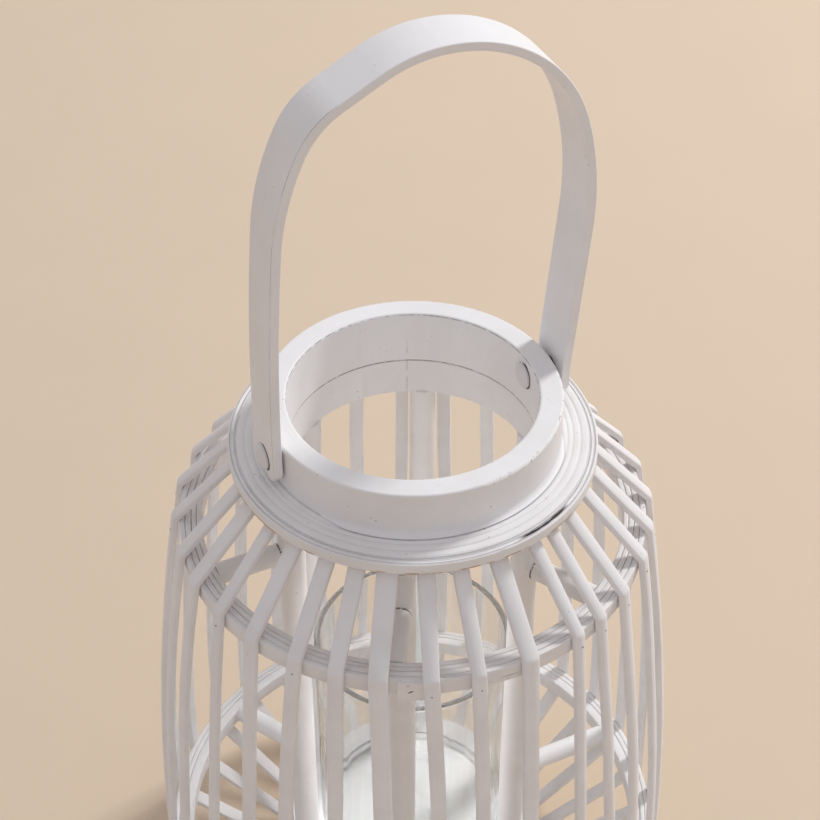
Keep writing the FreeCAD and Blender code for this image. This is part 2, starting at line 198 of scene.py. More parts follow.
def makePaintSkin():
    ins = [("Along", "Vector"), ("Fibre Length", "Float", 0.02), ("Fibre Width", "Float", 0.0006),
           ("Cracks", "Float", 0.3), ("Specks", "Float", 0.3)]
    outs = [("Tone", "Float"), ("Crack", "Float"), ("Height", "Float"), ("Roughness", "Float")]
    tree, given, result = newGroup("paintSkin", "ShaderNodeTree", ins, outs)
    along, look = given["Along"], skinLook
    lengthwise = calc(tree, "DIVIDE", 1.0, given["Fibre Length"])
    crosswise = calc(tree, "DIVIDE", 1.0, given["Fibre Width"])
    drawn = stretch(tree, along, compose(tree, lengthwise, crosswise, crosswise))
    fibre = noise(tree, drawn, detail=3.0, roughness=0.6)
    patch = noise(tree, along, look["patchScale"])
    tone = noise(tree, along, look["toneScale"], detail=3.0, roughness=0.6)
    peel = noise(tree, along, look["peelScale"], detail=1.0)
    dust = noise(tree, along, look["dustScale"], detail=0.0)
    crackLimit = calc(tree, "ADD", look["crackFrom"], product(tree, given["Cracks"], look["crackGain"]))
    hairline = ramp(tree, minus(tree, fibre, crackLimit), -look["crackSoft"], look["crackSoft"], 1.0, 0.0)
    crack = product(tree, hairline, ramp(tree, patch, *look["crackSpan"]))
    speckLimit = minus(tree, look["speckFrom"], product(tree, given["Specks"], look["speckGain"]))
    speck = ramp(tree, minus(tree, dust, speckLimit), 0.0, look["speckSoft"])
    speck = product(tree, speck, ramp(tree, patch, *look["speckSpan"]))
    marks = calc(tree, "MAXIMUM", crack, product(tree, speck, look["speckShare"]))
    fibreRelief = product(tree, fibre, look["fibreRelief"])
    relief = calc(tree, "ADD", fibreRelief, product(tree, peel, look["peelRelief"]))
    feed(tree, result["Tone"], ramp(tree, tone, *look["toneSpan"]))
    feed(tree, result["Crack"], marks)
    feed(tree, result["Height"], minus(tree, relief, product(tree, marks, look["markRelief"])))
    rough = calc(tree, "ADD", look["roughFrom"], product(tree, tone, look["roughGain"]))
    feed(tree, result["Roughness"], rough)
    return tree


# painted shade: a dark crescent painted on one side of the gap where a pivot head sits in its hole, in metres
pivotSeatShade = {"level": 0.408, "head": 0.0072, "width": 0.0007, "lean": 0.25, "sideSpan": (-0.001, 0.0035),
             "color": (0.10, 0.09, 0.085), "depth": 2.0, "paints": ("handlePaint", "collarPaint")}
markFade = 1.6  # where a mark's soft edge ends, as a share of its half width


# painted shade: a dark crescent on one side of each pivot head, with a shallow dip in the bump
def makePivotShade():
    ins = [("Point", "Vector"), ("Level", "Float", pivotSeatShade["level"]), ("Head", "Float", pivotSeatShade["head"]),
           ("Width", "Float", pivotSeatShade["width"])]
    tree, given, result = newGroup("pivotGapShade", "ShaderNodeTree", ins, [("Gap", "Float")])
    y, z = split(tree, given["Point"])[1:]
    up = minus(tree, z, given["Level"])
    past = minus(tree, hypotenuse(tree, y, up), given["Head"])
    rim = ramp(tree, past, given["Width"], product(tree, given["Width"], markFade), 1.0, 0.0)
    side = ramp(tree, minus(tree, product(tree, up, pivotSeatShade["lean"]), y), *pivotSeatShade["sideSpan"])
    feed(tree, result["Gap"], product(tree, rim, side))
    return tree


ringCoords = makeRingCoords()
slatCoords = makeSlatCoords()
archCoords = makeArchCoords()
paintSkin = makePaintSkin()
pivotGapShade = makePivotShade()

# paint finishes: colours are linear, lengths in metres
coat = {"gloss": 0.3, "relief": 0.0004}
paints = {
    "slatPaint": {
        "coords": slatCoords, "paint": (0.885, 0.88, 0.885), "shade": (0.835, 0.825, 0.825),
        "mark": (0.42, 0.32, 0.24), "length": 0.05, "width": 0.0011,
        "cracks": 0.10, "specks": 0.15, "bump": 0.25},
    "windingPaint": {
        "coords": ringCoords, "paint": (0.88, 0.87, 0.87), "shade": (0.80, 0.78, 0.77),
        "mark": (0.24, 0.20, 0.18), "length": 0.022, "width": 0.00055,
        "cracks": 0.6, "specks": 0.5, "bump": 0.6},
    "flangePaint": {
        "coords": ringCoords, "paint": (0.885, 0.88, 0.88), "shade": (0.83, 0.815, 0.81),
        "mark": (0.36, 0.31, 0.28), "length": 0.022, "width": 0.00055,
        "cracks": 0.38, "specks": 0.5, "bump": 0.5},
    "collarPaint": {
        "coords": ringCoords, "paint": (0.89, 0.885, 0.89), "shade": (0.845, 0.835, 0.835),
        "mark": (0.38, 0.33, 0.30), "length": 0.06, "width": 0.0011,
        "cracks": 0.12, "specks": 0.25, "bump": 0.4},
    "framePaint": {
        "coords": None, "paint": (0.885, 0.875, 0.87), "shade": (0.83, 0.81, 0.80),
        "mark": (0.42, 0.33, 0.25), "length": 0.0012, "width": 0.0012,
        "cracks": 0.12, "specks": 0.2, "bump": 0.2},
    "strutPaint": {
        "coords": ringCoords, "paint": (0.885, 0.875, 0.87), "shade": (0.83, 0.81, 0.80),
        "mark": (0.42, 0.33, 0.25), "length": 0.0016, "width": 0.009,
        "cracks": 0.12, "specks": 0.2, "bump": 0.2},
    "handlePaint": {
        "coords": archCoords, "paint": (0.89, 0.885, 0.89), "shade": (0.85, 0.84, 0.84),
        "mark": (0.45, 0.41, 0.38), "length": 0.08, "width": 0.0012,
        "cracks": 0.02, "specks": 0.15, "bump": 0.12},
    "bradPaint": {
        "coords": None, "paint": (0.27, 0.235, 0.21), "shade": (0.15, 0.13, 0.115),
        "mark": (0.30, 0.17, 0.09), "length": 0.0005, "width": 0.0005,
        "cracks": 0.8, "specks": 0.5, "bump": 0.2},
    "pivotPaint": {
        "coords": None, "paint": (0.82, 0.81, 0.81), "shade": (0.74, 0.73, 0.73),
        "mark": (0.20, 0.18, 0.17), "length": 0.0008, "width": 0.0008,
        "cracks": 0.25, "specks": 0.7, "bump": 0.3},
}


# inputs 6 and 7 and output 2 are the colour sockets of a Mix node
def mixColor(tree, factor, a, b):
    node = addNode(tree, "ShaderNodeMix", data_type="RGBA")
    feed(tree, node.inputs[0], factor)
    feed(tree, node.inputs[6], a if isinstance(a, bpy.types.NodeSocket) else (*a, 1.0))
    feed(tree, node.inputs[7], b if isinstance(b, bpy.types.NodeSocket) else (*b, 1.0))
    return node.outputs[2]


def placeGroup(tree, group, inputs):
    return placeNode(tree, "ShaderNodeGroup", inputs, node_tree=group).outputs


def bandMask(tree, value, middle, half):
    return ramp(tree, distance(tree, value, middle), half, half * markFade, 1.0, 0.0)


# marks that only one finish has: a band is its middle and half width, in metres
# wear is where in the noise a mark starts and is full, then its strength at each if not 0 and 1
collarMarks = {
    "seam": (0.387, 0.0003), "seamWear": (0.30, 0.55, 0.3, 0.85),
    "rimLevel": (0.42, 0.0008), "rimReach": (0.067, 0.0003), "rimWear": (0.36, 0.6, 0.0, 0.6),
    "scarf": (0.2746, 0.0004), "scarfWear": (0.4, 0.6, 0.0, 0.3), "scarfTop": (0.392, 0.404),
    "chipLevel": (0.4188, 0.0009), "chipReach": (0.0796, 0.0007), "chipWear": (0.60, 0.66, 0.0, 0.7),
    "chipSide": (-0.02, 0.05), "wearScale": 160.0, "chipScale": 420.0, "color": (0.20, 0.17, 0.15),
}


# the seam to the neck hoop, the worn inner rim, the scarf joint and chips on the outer rim
def addCollarMarks(tree, point, along, color):
    look = collarMarks
    turn, reach, level = split(tree, along)
    broken = noise(tree, along, look["wearScale"])
    seam = product(tree, bandMask(tree, level, *look["seam"]), ramp(tree, broken, *look["seamWear"]))
    rim = product(tree, bandMask(tree, level, *look["rimLevel"]), bandMask(tree, reach, *look["rimReach"]),
                  ramp(tree, broken, *look["rimWear"]))
    scarf = product(tree, bandMask(tree, turn, *look["scarf"]), ramp(tree, broken, *look["scarfWear"]),
                    ramp(tree, level, *look["scarfTop"], 1.0, 0.0))
    chipped = ramp(tree, noise(tree, point, look["chipScale"]), *look["chipWear"])
    edge = product(tree, bandMask(tree, level, *look["chipLevel"]), bandMask(tree, reach, *look["chipReach"]))
    chips = product(tree, edge, chipped, ramp(tree, turn, *look["chipSide"]))
    return mixColor(tree, calc(tree, "MAXIMUM", scarf, seam, rim, chips), color, look["color"])


strutMarks = {"cope": (0.0809, 0.0004), "wear": (0.38, 0.5), "wearScale": 900.0, "color": (0.14, 0.12, 0.11)}


# the line where a strut is coped to its post
def addCopeLine(tree, point, along, color):
    broken = ramp(tree, noise(tree, point, strutMarks["wearScale"], detail=1.0), *strutMarks["wear"])
    cope = product(tree, bandMask(tree, split(tree, along)[1], *strutMarks["cope"]), broken)
    return mixColor(tree, cope, color, strutMarks["color"])


flangeMarks = {
    "bareLevel": (0.3846, 0.0008), "bareWear": (0.45, 0.6), "bareScale": 90.0,
    "bareColor": (0.50, 0.33, 0.18),
    "splitReach": 0.0971, "splitTurn": (0.0335, 0.0130), "splitTop": (0.387, 0.388), "splitSoft": 0.0003,
    "splitFrom": 0.00025, "splitGain": 0.0006, "splitScale": 240.0, "splitShadeColor": (0.035, 0.03, 0.028),
}


# bare cane under the flange, and painted shade: the inside of the split in its binding is painted near black
def addFlangeMarks(tree, point, along, color):
    look = flangeMarks
    turn, reach, level = split(tree, along)
    worn = ramp(tree, noise(tree, along, look["bareScale"]), *look["bareWear"])
    bare = product(tree, bandMask(tree, level, *look["bareLevel"]), worn)
    color = mixColor(tree, bare, color, look["bareColor"])
    # painted shade in the split: how wide the near-black band is, and where round the ring it lies
    uneven = product(tree, noise(tree, along, look["splitScale"]), look["splitGain"])
    wide = calc(tree, "ADD", look["splitFrom"], uneven)
    apart = minus(tree, distance(tree, reach, look["splitReach"]), wide)
    opened = product(tree, ramp(tree, apart, 0.0, look["splitSoft"], 1.0, 0.0),
                     bandMask(tree, turn, *look["splitTurn"]), ramp(tree, level, *look["splitTop"]))
    return mixColor(tree, opened, color, look["splitShadeColor"])


handleMarks = {"glue": (-0.0132, 0.00016), "leftLeg": (-0.05, -0.04), "wear": (0.40, 0.55, 0.1, 0.7),
               "wearScale": 35.0, "color": (0.25, 0.22, 0.20)}


# the glue line near the front edge of the left leg
def addGlueLine(tree, point, along, color):
    x, y = split(tree, point)[:2]
    broken = ramp(tree, noise(tree, along, handleMarks["wearScale"]), *handleMarks["wear"])
    onLeg = ramp(tree, x, *handleMarks["leftLeg"], 1.0, 0.0)
    glue = product(tree, bandMask(tree, y, *handleMarks["glue"]), onLeg, broken)
    return mixColor(tree, glue, color, handleMarks["color"])


slatMarks = {"stain": (-0.1332, -0.069, 0.2818), "stainFade": (0.0012, 0.0042, 0.55, 0.0),
             "uneven": 0.002, "unevenScale": 500.0, "color": (0.50, 0.34, 0.20)}


# one brown stain on a front slat
def addStain(tree, point, along, color):
    uneven = product(tree, noise(tree, point, slatMarks["unevenScale"]), slatMarks["uneven"])
    away = calc(tree, "ADD", vectorMath(tree, "DISTANCE", point, slatMarks["stain"])["Value"], uneven)
    return mixColor(tree, ramp(tree, away, *slatMarks["stainFade"]), color, slatMarks["color"])


ownMarks = {"collarPaint": addCollarMarks, "strutPaint": addCopeLine, "flangePaint": addFlangeMarks,
            "handlePaint": addGlueLine, "slatPaint": addStain}


def newMaterial(name):
    material = bpy.data.materials.new(name)
    material.use_nodes = True
    tree = material.node_tree
    point = addNode(tree, "ShaderNodeTexCoord").outputs["Object"]
    return material, tree, tree.nodes["Principled BSDF"], point


def addBump(tree, shader, height, strength, relief):
    bump = wire(tree, "ShaderNodeBump", {"Strength": strength, "Distance": relief, "Height": height})
    tree.links.new(bump, shader.inputs["Normal"])


def blendShaders(tree, factor, first, second, target):
    blend = wire(tree, "ShaderNodeMixShader", {0: factor, 1: first, 2: second})
    tree.links.new(blend, target)


def makePaint(name, look):
    material, tree, shader, point = newMaterial(name)
    along = placeGroup(tree, look["coords"], {"Point": point})[0] if look["coords"] else point
    inputs = {"Along": along, "Fibre Length": look["length"], "Fibre Width": look["width"],
              "Cracks": look["cracks"], "Specks": look["specks"]}
    skin = placeGroup(tree, paintSkin, inputs)
    color = mixColor(tree, skin["Tone"], look["shade"], look["paint"])
    color = mixColor(tree, skin["Crack"], color, look["mark"])
    height = skin["Height"]
    # painted shade of the gap round the pivot heads, a dark crescent on one side
    if name in pivotSeatShade["paints"]:
        gap = placeGroup(tree, pivotGapShade, {"Point": point})[0]
        color = mixColor(tree, gap, color, pivotSeatShade["color"])
        height = minus(tree, height, product(tree, gap, pivotSeatShade["depth"]))
    if name in ownMarks:
        color = ownMarks[name](tree, point, along, color)
    shader.inputs["Specular IOR Level"].default_value = coat["gloss"]
    tree.links.new(color, shader.inputs["Base Color"])
    tree.links.new(skin["Roughness"], shader.inputs["Roughness"])
    addBump(tree, shader, height, look["bump"], coat["relief"])
    return material


# clear glass with faint smears and a slow ripple; stretches are per metre, along the ring and up
glassLook = {
    "sockets": {"Base Color": (0.984, 0.992, 0.993, 1.0), "Transmission Weight": 1.0, "IOR": 1.45,
                "Alpha": 0.88},
    "smear": (60.0, 60.0, 14.0), "smearRough": (0.35, 0.75, 0.005, 0.05),
    "ripple": (40.0, 40.0, 9.0), "bump": 0.15, "relief": 0.002, "shadow": (0.945, 0.957, 0.958, 1.0),
}


def makeGlass():
    material, tree, shader, point = newMaterial("clearGlass")
    along = placeGroup(tree, ringCoords, {"Point": point})[0]
    for label, value in glassLook["sockets"].items():
        shader.inputs[label].default_value = value
    smear = noise(tree, stretch(tree, along, glassLook["smear"]))
    ripple = noise(tree, stretch(tree, along, glassLook["ripple"]), detail=1.0)
    tree.links.new(ramp(tree, smear, *glassLook["smearRough"]), shader.inputs["Roughness"])
    addBump(tree, shader, ripple, glassLook["bump"], glassLook["relief"])
    # light passes the glass without a hard shadow
    rays = addNode(tree, "ShaderNodeLightPath").outputs
    clear = wire(tree, "ShaderNodeBsdfTransparent", {"Color": glassLook["shadow"]})
    surface = tree.nodes["Material Output"].inputs["Surface"]
    blendShaders(tree, rays["Is Shadow Ray"], shader.outputs[0], clear, surface)
    return material


finish = {name: makePaint(name, look) for name, look in paints.items()}
finish["clearGlass"] = makeGlass()
print("finishes made:", len(finish))

# CAD nodes that keep their shape
keptNodes = {
    "collarPaint": ("collar", "neck_hoop"),
    "framePaint": ("post_", "candle_plate", "base_hoop"),
    "strutPaint": ("upper_struts", "lower_struts"),
    "handlePaint": ("handle",),
    "pivotPaint": ("pivot_",),
}
for paint, starts in keptNodes.items():
    for name, item in nodes.items():
        if name.startswith(starts):
            item.data.materials.clear()
            item.data.materials.append(finish[paint])
print("CAD nodes painted")


# small helpers for pieces
def onRing(reach, turn, level):
    return (reach * math.cos(turn), reach * math.sin(turn), level)


def turnsAround(count):
    return [2.0 * math.pi * spot / count for spot in range(count)]


def arcAngles(steps, quarters=1):
    return [step / steps * math.pi / 2 for step in range(quarters * steps + 1)]


def newMesh(name, points, faces, paint):
    mesh = bpy.data.meshes.new(name)
    mesh.from_pydata(points, [], faces)
    mesh.materials.append(finish[paint])
    return mesh


# shows a mesh as a piece that rides on a body and stands for CAD nodes
def showPiece(name, mesh, body, standsFor=()):
    piece = bpy.data.objects.new(name, mesh)
    scene.collection.objects.link(piece)
    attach(piece, body)
    if standsFor:
        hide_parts(*standsFor)
    print("made", name, len(mesh.polygons), "faces")


# turns a modifier's result into a plain mesh
def settle(draft, modifier, name):
    shown = draft.evaluated_get(bpy.context.evaluated_depsgraph_get())
    mesh = bpy.data.meshes.new_from_object(shown)
    mesh.name = name
    draft.modifiers.remove(modifier)
    bpy.data.objects.remove(draft)
    return mesh


def runTree(mesh, tree, name, values):
    draft = bpy.data.objects.new(name + "Draft", mesh)
    scene.collection.objects.link(draft)
    modifier = draft.modifiers.new(name, "NODES")
    modifier.node_group = tree
    for item in tree.interface.items_tree:
        if item.item_type == "SOCKET" and item.in_out == "INPUT" and item.name in values:
            modifier[item.identifier] = values[item.name]
    return settle(draft, modifier, name)


# steps that the geometry trees share
def position(tree):
    return addNode(tree, "GeometryNodeInputPosition").outputs[0]


def readAttribute(tree, name, kind="FLOAT"):
    node = placeNode(tree, "GeometryNodeInputNamedAttribute", {"Name": name}, data_type=kind)
    return node.outputs["Attribute"]


def roundCorners(tree, curve, radius, count, limit=False):
    inputs = {"Curve": curve, "Radius": radius, "Count": count, "Limit Radius": limit}
    return wire(tree, "GeometryNodeFilletCurve", inputs, mode="POLY")


def stripSection(tree, wide, tall, corner, count):
    inputs = {"Width": wide, "Height": tall}
    plate = wire(tree, "GeometryNodeCurvePrimitiveQuadrilateral", inputs, mode="RECTANGLE")
    return roundCorners(tree, plate, corner, count)


def sweepStrip(tree, path, normal, section, caps):
    square = wire(tree, "GeometryNodeSetCurveNormal", {"Curve": path, "Normal": normal}, mode="FREE")
    inputs = {"Curve": square, "Profile Curve": section, "Fill Caps": caps}
    return wire(tree, "GeometryNodeCurveToMesh", inputs)


def move(tree, geometry, offset):
    return wire(tree, "GeometryNodeSetPosition", {"Geometry": geometry, "Offset": offset})


def endTree(tree, geometry, paint, result):
    smooth = wire(tree, "GeometryNodeSetShadeSmooth", {0: geometry})
    real = wire(tree, "GeometryNodeRealizeInstances", {0: smooth})
    feed(tree, result[0], wire(tree, "GeometryNodeSetMaterial", {"Geometry": real, "Material": paint}))


# slats: crowned split strips along the bent side profile, sizes in metres
slats = {
    "tabFace": 0.0946, "tabTop": 0.3899, "tabBottom": 0.384,
    "shoulder": (0.1335, 0.341), "foot": (0.1575, 0.058), "bow": 1.81, "bowSteps": 9,
    "footTab": 0.0848, "footTabTop": 0.012, "footTabBottom": 0.003,
    "width": 0.0084, "thick": 0.0042, "crown": 0.0009, "corner": 0.0008, "cornerCuts": 3,
    "faceCuts": 1, "bend": 0.0048, "bendCuts": 4, "slopeWiden": 1.12, "slopeSpan": (0.33, 0.385),
    # sideways wander: its whole breadth, the levels where it starts and ends, and how fast it changes
    "wander": 0.0075, "wanderFoot": (0.012, 0.08), "wanderTop": (0.32, 0.385),
    "wanderTurn": 40.0, "wanderRise": 9.0,
    # shares of the width, and sideways bows at mid height, of the front strips
    "ownWidth": {"slat_18": 0.80, "slat_19": 0.98, "slat_20": 0.96, "slat_21": 0.99, "slat_22": 1.20,
                 "slat_23": 1.0, "slat_24": 0.92, "slat_25": 1.08, "slat_26": 0.80, "slat_27": 0.80,
                 "slat_28": 0.90},
    "sideBow": {"slat_18": 0.0042, "slat_19": 0.0042, "slat_20": -0.0025, "slat_21": 0.0022,
                "slat_22": 0.0042, "slat_23": 0.0042, "slat_24": 0.0009, "slat_25": -0.0035,
                "slat_26": -0.0042},
    "otherWidths": (0.94, 1.1), "seed": 7,
}
slatNames = sorted(name for name in nodes if name.startswith("slat_"))


def slatProfile():
    top, foot = Vector(slats["shoulder"]), Vector(slats["foot"])
    chord = foot - top
    out = Vector((-chord.y, chord.x)).normalized()
    half = chord.length / 2
    bow = slats["bow"]
    sink = math.sqrt(bow ** 2 - half ** 2)
    line = [(slats["tabFace"], slats["tabTop"]), (slats["tabFace"], slats["tabBottom"])]
    for step in range(slats["bowSteps"] + 1):
        share = step / slats["bowSteps"]
        spot = top + chord * share + out * (math.sqrt(bow ** 2 - (half * (2 * share - 1)) ** 2) - sink)
        line.append((spot.x, spot.y))
    return line + [(slats["footTab"], slats["footTabTop"]), (slats["footTab"], slats["footTabBottom"])]


def slatTurn(name):
    middle = sum((v.co for v in nodes[name].data.vertices), Vector())
    return math.atan2(middle.y, middle.x)


def makeSlatTree():
    sizes = [(label, "Float") for label in ("Width", "Thickness", "Crown", "Corner", "Bend", "Wander")]
    ins = [("Lines", "Geometry"), *sizes, ("Paint", "Material")]
    tree, given, result = newGroup("slatStrips", "GeometryNodeTree", ins, [("Strips", "Geometry")])
    # section: a rounded strip with its outer face crowned, hung inwards from the path
    plate = stripSection(tree, given["Width"], given["Thickness"], given["Corner"], slats["cornerCuts"])
    plate = wire(tree, "GeometryNodeSubdivideCurve", {"Curve": plate, "Cuts": slats["faceCuts"]})
    x, y = split(tree, position(tree))[:2]
    share = calc(tree, "DIVIDE", x, product(tree, given["Width"], 0.5))
    drop = product(tree, share, share, given["Crown"], calc(tree, "GREATER_THAN", y, 0.0), -1.0)
    hang = minus(tree, drop, product(tree, given["Thickness"], 0.5))
    section = move(tree, plate, compose(tree, 0.0, hang, 0.0))
    # path: each line bent softly, its section held square to the lantern's axis
    line = wire(tree, "GeometryNodeMeshToCurve", {"Mesh": given["Lines"]})
    line = roundCorners(tree, line, given["Bend"], slats["bendCuts"], limit=True)
    turn = readAttribute(tree, "turn")
    tangent = compose(tree, product(tree, calc(tree, "SINE", turn), -1.0), calc(tree, "COSINE", turn), 0.0)
    strips = sweepStrip(tree, line, tangent, section, caps=True)
    # each strip has its own width, is wider on the slope, and either bows sideways or wanders a little
    spot = position(tree)
    level = split(tree, spot)[2]
    slope = ramp(tree, level, *slats["slopeSpan"], 1.0, slats["slopeWiden"])
    breadth = product(tree, readAttribute(tree, "widen"), slope)
    extra = product(tree, vectorMath(tree, "DOT_PRODUCT", spot, tangent)["Value"], minus(tree, breadth, 1.0))
    high, low = slats["shoulder"][1], slats["foot"][1]
    down = calc(tree, "DIVIDE", minus(tree, high, level), high - low)
    down = calc(tree, "MINIMUM", calc(tree, "MAXIMUM", down, 0.0), 1.0)
    bowed = product(tree, calc(tree, "SINE", product(tree, down, math.pi)), readAttribute(tree, "bowed"))
    around, up = product(tree, turn, slats["wanderTurn"]), product(tree, level, slats["wanderRise"])
    sway = minus(tree, noise(tree, compose(tree, around, 0.0, up), detail=1.0), 0.5)
    fromFoot = ramp(tree, level, *slats["wanderFoot"])
    toTop = ramp(tree, level, *slats["wanderTop"], 1.0, 0.0)
    wander = product(tree, sway, given["Wander"], fromFoot, toTop, readAttribute(tree, "loose"))
    side = calc(tree, "ADD", extra, bowed, wander)
    strips = move(tree, strips, stretch(tree, tangent, compose(tree, side, side, side)))
    endTree(tree, strips, given["Paint"], result)
    return tree


def makeSlats():
    chance = random.Random(slats["seed"])
    profile = slatProfile()
    points, edges = [], []
    traits = {"turn": [], "widen": [], "bowed": [], "loose": []}
    for name in slatNames:
        turn = slatTurn(name)
        width = slats["ownWidth"].get(name, chance.uniform(*slats["otherWidths"]))
        bow = slats["sideBow"].get(name, 0.0)
        loose = 0.0 if name in slats["sideBow"] else 1.0
        first = len(points)
        points += [onRing(reach, turn, level) for reach, level in profile]
        edges += [(first + i, first + i + 1) for i in range(len(profile) - 1)]
        for values, value in zip(traits.values(), (turn, width, bow, loose)):
            values += [value] * len(profile)
    mesh = bpy.data.meshes.new("slatLines")
    mesh.from_pydata(points, edges, [])
    for trait, values in traits.items():
        mesh.attributes.new(trait, "FLOAT", "POINT").data.foreach_set("value", values)
    sizes = {"Width": slats["width"], "Thickness": slats["thick"], "Crown": slats["crown"],
             "Corner": slats["corner"], "Bend": slats["bend"], "Wander": slats["wander"]}
    strips = runTree(mesh, makeSlatTree(), "slats", {**sizes, "Paint": finish["slatPaint"]})
    showPiece("slats", strips, "cage", slatNames)


makeSlats()

# wound rings: strips in each, easing of their edges, sag and groove depth, in metres
# the binding is split along its groove: where round the ring, how far to each side, and how deep
rings = {
    "flange_coil_inner": {"strips": 2, "ease": 0.0009, "sag": 0.0004, "groove": 0.00012},
    "flange_coil_outer": {"strips": 1, "ease": 0.0010, "sag": 0.0004, "groove": 0.00014},
    "flange_cap": {"strips": 1, "ease": 0.0010, "sag": 0.0004, "groove": 0.00014},
    "flange_binding": {"strips": 2, "ease": 0.0012, "sag": 0.0005, "groove": 0.0003,
                       "split": (-1.225, 0.16, 0.0022)},
    "shoulder_hoop_inner": {"strips": 2, "ease": 0.0007, "sag": 0.0016, "groove": 0.0012},
    "shoulder_hoop_outer": {"strips": 2, "ease": 0.0007, "sag": 0.0014, "groove": 0.0012},
    "lower_hoop_inner": {"strips": 1, "ease": 0.0008, "sag": 0.0012, "groove": 0.0012},
    "lower_hoop_outer": {"strips": 2, "ease": 0.0007, "sag": 0.0012, "groove": 0.0012},
    "base_binding": {"strips": 2, "ease": 0.0008, "sag": 0.0, "groove": 0.0005},
}
# shared by the rings; fill is how much wider the core is than the strips, for each paint
winding = {"gap": 0.00012, "around": 288, "cornerCuts": 3, "coreEase": 0.0001, "splitWide": 0.0012,
           "noSplit": (0.0, 0.1, 0.0), "sagScale": 22.0, "sagShift": 7.3,
           "fill": {"flangePaint": 0.0001, "windingPaint": -0.0003}}


def makeRingTree():
    labels = ("Inner", "Outer", "Bottom", "Top", "Gap", "Ease", "Sag", "Groove", "Fill", "Split Turn",
              "Split Spread", "Split Depth")
    sizes = [(label, "Float") for label in labels]
    ins = [("Start", "Geometry"), ("Strips", "Int"), *sizes, ("Paint", "Material")]
    tree, given, result = newGroup("woundRing", "GeometryNodeTree", ins, [("Ring", "Geometry")])
    breadth = minus(tree, given["Outer"], given["Inner"])
    pitch = calc(tree, "DIVIDE", breadth, given["Strips"])
    height = minus(tree, given["Top"], given["Bottom"])
    middle = product(tree, calc(tree, "ADD", given["Top"], given["Bottom"]), 0.5)
    circleSize = {"Resolution": winding["around"], "Radius": 1.0}
    circle = wire(tree, "GeometryNodeCurvePrimitiveCircle", circleSize, mode="RADIUS")

    def sweepRing(count, wide, tall, ease, reach):
        section = stripSection(tree, wide, tall, ease, winding["cornerCuts"])
        spots = wire(tree, "GeometryNodePoints", {"Count": count})
        laying = {"Points": spots, "Instance": circle, "Scale": compose(tree, reach, reach, 1.0)}
        laid = wire(tree, "GeometryNodeInstanceOnPoints", laying)
        real = wire(tree, "GeometryNodeRealizeInstances", {0: laid})
        even = wire(tree, "GeometryNodeSetCurveRadius", {"Curve": real, "Radius": 1.0})
        return sweepStrip(tree, even, position(tree), section, caps=False)

    index = addNode(tree, "GeometryNodeInputIndex").outputs[0]
    stripReach = calc(tree, "ADD", given["Inner"], product(tree, calc(tree, "ADD", index, 0.5), pitch))
    strips = sweepRing(given["Strips"], minus(tree, pitch, given["Gap"]), height, given["Ease"], stripReach)
    # paint-filled core between the strips, so that the grooves stay shallow
    coreTall = minus(tree, height, product(tree, calc(tree, "ADD", given["Groove"], given["Sag"]), 2.0))
    coreReach = calc(tree, "ADD", given["Inner"], product(tree, breadth, 0.5))
    core = sweepRing(1, calc(tree, "ADD", breadth, given["Fill"]), coreTall, winding["coreEase"], coreReach)
    # strips sag unevenly on their upper side, each in its own way, and the binding has split along its groove
    x, y, z = split(tree, position(tree))
    out = hypotenuse(tree, x, y)
    number = calc(tree, "FLOOR", calc(tree, "DIVIDE", minus(tree, out, given["Inner"]), pitch))
    scale = winding["sagScale"]
    shift = product(tree, number, winding["sagShift"])
    course = compose(tree, product(tree, x, scale), product(tree, y, scale), shift)
    fromSplit = distance(tree, calc(tree, "ARCTAN2", y, x), given["Split Turn"])
    fromGroove = distance(tree, out, coreReach)
    opened = product(tree, ramp(tree, fromSplit, 0.0, given["Split Spread"], 1.0, 0.0),
                     ramp(tree, fromGroove, 0.0, winding["splitWide"], 1.0, 0.0), given["Split Depth"])
    drop = calc(tree, "ADD", product(tree, noise(tree, course), given["Sag"]), opened)
    lower = product(tree, drop, calc(tree, "GREATER_THAN", z, 0.0), -1.0)
    both = addNode(tree, "GeometryNodeJoinGeometry")
    tree.links.new(move(tree, strips, compose(tree, 0.0, 0.0, lower)), both.inputs[0])
    tree.links.new(core, both.inputs[0])
    raised = move(tree, both.outputs[0], compose(tree, 0.0, 0.0, middle))
    endTree(tree, raised, given["Paint"], result)
    return tree


def makeRings():
    tree = makeRingTree()
    for name, look in rings.items():
        paint = "flangePaint" if name.startswith("flange_") else "windingPaint"
        low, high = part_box(name)
        bore = min(math.hypot(v.co.x, v.co.y) for v in nodes[name].data.vertices)
        values = {"Inner": bore, "Outer": high.x, "Bottom": low.z, "Top": high.z, "Strips": look["strips"],
                  "Gap": winding["gap"], "Ease": look["ease"], "Sag": look["sag"], "Groove": look["groove"],
                  "Fill": winding["fill"][paint], "Paint": finish[paint]}
        opening = look.get("split", winding["noSplit"])
        values["Split Turn"], values["Split Spread"], values["Split Depth"] = opening
        pieceName = name + "_strips"
        ring = runTree(bpy.data.meshes.new(name + "Start"), tree, pieceName, values)
        showPiece(pieceName, ring, "cage", [name])


makeRings()

# cove of paint where the collar stands on the flange, thin beside the handle's feet; angles in degrees
cove = {"wall": 0.0799, "ground": 0.3929, "size": 0.0034, "thin": 0.0002, "steps": 6, "around": 240,
        "clearFrom": 24.0, "clearTo": 42.0}


